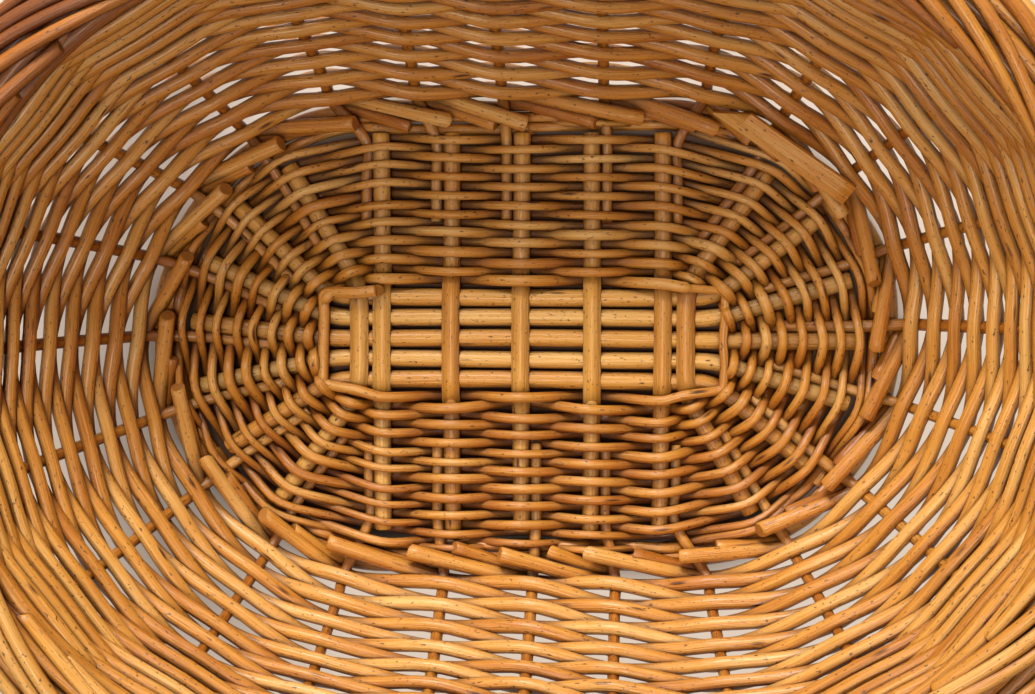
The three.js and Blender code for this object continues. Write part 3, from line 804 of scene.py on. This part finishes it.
# Lines along the strap: half the slot, the flat, where the burnished edge starts, and the edge
HALF_COLUMNS = [1.9, 6.0, 8.4, 9.0]
COLUMNS = [-column for column in reversed(HALF_COLUMNS)] + [0.0] + HALF_COLUMNS
SLOT_COLUMNS = (3, 4)  # the two beside the middle
FOLD_SLOT = {"run": 30, "top": 83.6}
TONGUE_SLOT = (65.0, 81.5)
PUNCHED = (58.0, 98.0)
PUNCH = 1.3


def strap_holes(radius, height, run, total):
    """If the strap's middle is cut away at a point of its line, by a slot for the prong or a punched hole."""
    folded = run < FOLD_SLOT["run"] and height < FOLD_SLOT["top"]
    tongue = run > total / 2 and TONGUE_SLOT[0] < height < TONGUE_SLOT[1] and radius > LEG
    punched = run > total / 2 and min(abs(height - mark) for mark in PUNCHED) < PUNCH
    return folded or tongue or punched


def strap_piece(name, u):
    along = place(u)[2]
    corners = [point for point, _ in STRAP_LINE]
    line = evenly(bent(corners, [bend for _, bend in STRAP_LINE], 8), STRAP_STEP)
    run = lengths(line)
    points = np.array([[at(u, *spot) + along * column for column in COLUMNS] for spot in line])
    n, m = points.shape[:2]
    faces = []
    for i in range(n - 1):
        middle = (line[i] + line[i + 1]) / 2
        holed = strap_holes(*middle, (run[i] + run[i + 1]) / 2, run[-1])
        for k in range(m - 1):
            if not (holed and k in SLOT_COLUMNS):
                faces.append((i * m + k, i * m + k + 1, (i + 1) * m + k + 1, (i + 1) * m + k))
    grain = np.array([[(s, column, 0) for column in COLUMNS] for s in run])
    edge = np.array([[float(abs(column) > HALF_COLUMNS[-2]) for column in COLUMNS] for _ in run])
    band = Rods()
    band.put(points.reshape(-1, 3), faces, grain.reshape(-1, 3), PLAIN_TONE, edge.ravel())
    piece = band.piece(f"strap_{name}", LEATHER, "leather", "basket", [f"strap_{name}"])
    thicken = piece.modifiers.new("thickness", "SOLIDIFY")
    thicken.thickness = STRAP["thick"] * MM
    thicken.offset = 0
    soften = piece.modifiers.new("soft_edges", "SUBSURF")
    soften.levels = 1
    soften.render_levels = 1


def buckle_piece(name, u):
    _, out, along = place(u)
    middle = at(u, BAR, (BUCKLE["high"] + BUCKLE["low"]) / 2)
    width = STRAP["width"] + 2 * BUCKLE["side"] + 2 * WIRE
    outline = rounded_box(width, BUCKLE["high"] - BUCKLE["low"], BUCKLE["corner"], 7)
    wire = Rods()
    wire.add([middle + along * a + np.array([0, 0, b]) for a, b in outline], WIRE, PLAIN_TONE,
             section=circle(14), side=out, closed=True)
    wire.piece(f"buckle_{name}", STEEL, "buckle_steel", "basket", [f"buckle_{name}"])


# The prong's eye round the bar, and its arm as places out and up from the bar
EYE = WIRE + STRAP["gap"] + 0.6
EYE_SECTION = rounded_box(2.6, 1.1, 0.4, 3)
LIE = WIRE + STRAP["gap"] + 0.9
ARM = [(EYE, -1.2), (LIE + 0.5, -5), (LIE + 0.3, -11), (LIE, -16.5), (LIE - 0.1, -20.3)]
ARM_SECTION = rounded_box(2.6, 1.8, 0.6, 4)
ARM_TAPER = ([0, 0.85, 1], [1.0, 0.9, 0.62])


def prong_piece(name, u):
    _, out, along = place(u)
    pin = Rods()
    hinge = at(u, BAR, BUCKLE["high"])
    pin.add([hinge + out * EYE * a + np.array([0, 0, EYE * b]) for a, b in circle(20)], 1.0, PLAIN_TONE,
            section=EYE_SECTION, side=along, closed=True)
    path = smooth([hinge + out * a + np.array([0, 0, b]) for a, b in ARM], 5)
    pin.add(path, np.interp(np.linspace(0, 1, len(path)), *ARM_TAPER), PLAIN_TONE,
            section=ARM_SECTION, side=along)
    pin.piece(f"prong_{name}", STEEL, "buckle_steel", f"prong_{name}", [f"prong_{name}"])


def keeper_piece(name, u):
    _, out, along = place(u)
    low = LEG - STRAP["thick"] / 2 - STRAP["gap"]
    high = STRAP_TAIL + STRAP["thick"] / 2 + STRAP["gap"]
    middle = at(u, (low + high) / 2, KEEPER["low"] + KEEPER["width"] / 2)
    across = STRAP["width"] + 2 * STRAP["gap"] + KEEPER["wall"]
    loop = rounded_box(high - low + KEEPER["wall"], across, KEEPER["corner"], 5)
    band = Rods()
    band.add([middle + out * a + along * b for a, b in loop], 1.0, PLAIN_TONE,
             section=rounded_box(KEEPER["width"], KEEPER["wall"], 0.6, 4), side=(0, 0, 1), closed=True)
    band.piece(f"keeper_{name}", LEATHER, "leather", "basket", [f"keeper_{name}"])


for name, way in (("left", 1), ("right", -1)):
    u = SPREAD / 2 + way * STRAP["stakes"] * PITCH
    strap_piece(name, u)
    buckle_piece(name, u)
    prong_piece(name, u)
    keeper_piece(name, u)


# Floor, light and camera

FLOOR_HALF = 40  # metres
FLOOR_GLOW = 0.8
GLOW_COLOR = linear(245, 224, 204)
UNDER_BASE_SHADOW = linear(84, 50, 24)
PALE_COLORS = [(0.3, linear(208, 203, 197)), (0.7, linear(214, 209, 203))]
SHADOW_END = FOOT[0] + 9
LEFT_SHADOW_X = (-0.07, -0.14)  # metres along X
LEFT_SHADOW_AWAY = (0.13, 0.19)  # metres from the spine
LEFT_SHADOW_SHARE = 0.65
WORLD_COLOR = (1, 0.9, 0.78, 1)
WORLD_LIGHT = 0.04
BACKDROP = 0.65  # how bright the world is seen, beyond the light that it gives


def floor_material():
    """Pale and plain, with a brown painted shadow where the base covers it, and a painted shadow under the
    left of the basket's wall.
    """
    n = Nodes("floor")
    spot = n.node("ShaderNodeTexCoord").outputs["Object"]
    axes = n.node("ShaderNodeSeparateXYZ", {"Vector": spot}).outputs
    beyond = n.math("MAXIMUM", n.math("SUBTRACT", n.math("ABSOLUTE", axes["X"]), SPINE * MM), 0.0)
    across = n.math("SUBTRACT", axes["Y"], SHIFT * MM)
    squares = [(n.math("MULTIPLY", value, value), 1.0) for value in (beyond, across)]
    away = n.math("SQRT", n.total(*squares))
    # Painted shadow: brown under the base, fading out past the wall's foot
    unshadowed = n.math("POWER", n.range(away, EDGE * MM, SHADOW_END * MM, 0.0, 1.0), 2.0)
    # Painted shadow under the left of the basket's wall
    left_shadow = n.math("MULTIPLY", n.range(axes["X"], *LEFT_SHADOW_X, 0.0, LEFT_SHADOW_SHARE),
                      n.range(away, *LEFT_SHADOW_AWAY, 1.0, 0.0))
    unshadowed = n.math("MULTIPLY", unshadowed, n.math("SUBTRACT", 1.0, left_shadow))
    mottle = n.ramp(n.noise(spot, (9.0, 9.0, 9.0)), PALE_COLORS)
    n.set(Base_Color=n.mix(unshadowed, UNDER_BASE_SHADOW, mottle), Roughness=0.7)
    glow = n.node("ShaderNodeEmission", {"Color": GLOW_COLOR, "Strength": 1.0}).outputs["Emission"]
    share = n.math("MULTIPLY", n.seen(), n.math("MULTIPLY", unshadowed, FLOOR_GLOW))
    blend = n.node("ShaderNodeMixShader", {0: share, 1: n.shader.outputs["BSDF"], 2: glow})
    n.tree.links.new(blend.outputs["Shader"], n.tree.nodes["Material Output"].inputs["Surface"])
    return n.material


floor_mesh = bpy.data.meshes.new("floor")
corners = [(x * FLOOR_HALF, y * FLOOR_HALF, 0) for x, y in ((-1, -1), (1, -1), (1, 1), (-1, 1))]
floor_mesh.from_pydata(corners, [], [(0, 1, 2, 3)])
floor_mesh.materials.append(floor_material())
floor = bpy.data.objects.new("floor", floor_mesh)
bpy.context.scene.collection.objects.link(floor)

studio = Nodes("studio", "worlds", "Background")
studio.set(Color=WORLD_COLOR, Strength=studio.range(studio.seen(), 0.0, 1.0, WORLD_LIGHT, BACKDROP))
bpy.context.scene.world = studio.material


def area_light(name, position, target, size, watts, color):
    light = bpy.data.lights.new(name, "AREA")
    light.shape = "DISK"
    light.size = size
    light.energy = watts
    light.color = color
    lamp = bpy.data.objects.new(name, light)
    lamp.location = position
    lamp.rotation_euler = (Vector(target) - Vector(position)).to_track_quat("-Z", "Y").to_euler()
    bpy.context.scene.collection.objects.link(lamp)


KEY_COLOR = (1.0, 0.96, 0.91)
SOFT_COLOR = (1.0, 0.9, 0.76)
area_light("key", (-0.4, 1.85, 1.4), (0, -0.03, 0.04), 0.9, 74, KEY_COLOR)
area_light("left", (-1.7, 0.9, 1.4), (0, -0.02, 0.04), 0.9, 6, SOFT_COLOR)
area_light("overhead", (-0.1, -0.2, 1.9), (0, 0.02, 0.04), 0.45, 14, SOFT_COLOR)
area_light("fill", (-0.4, -1.7, 1.5), (0, -0.02, 0.04), 0.9, 5, SOFT_COLOR)

# The photograph's camera, found by fitting the rows of the wall
IMAGE_WIDTH = 1035
FOCAL_PIXELS = 1750
CAMERA = Vector((46.3, SHIFT + 58.7, 713.0)) * MM
AIM = Vector((-1.2, SHIFT - 2.9, 13.0)) * MM
camera_data = bpy.data.cameras.new("camera")
camera_data.sensor_width = 36
camera_data.lens = camera_data.sensor_width * FOCAL_PIXELS / IMAGE_WIDTH
camera_data.clip_start = 0.01
camera = bpy.data.objects.new("camera", camera_data)
camera.location = CAMERA
back = (CAMERA - AIM).normalized()
right = Vector((0, 1, 0)).cross(back).normalized()
camera.rotation_euler = Matrix((right, back.cross(right), back)).transposed().to_euler()
bpy.context.scene.collection.objects.link(camera)
bpy.context.scene.camera = camera
bpy.context.scene.view_settings.view_transform = "Standard"
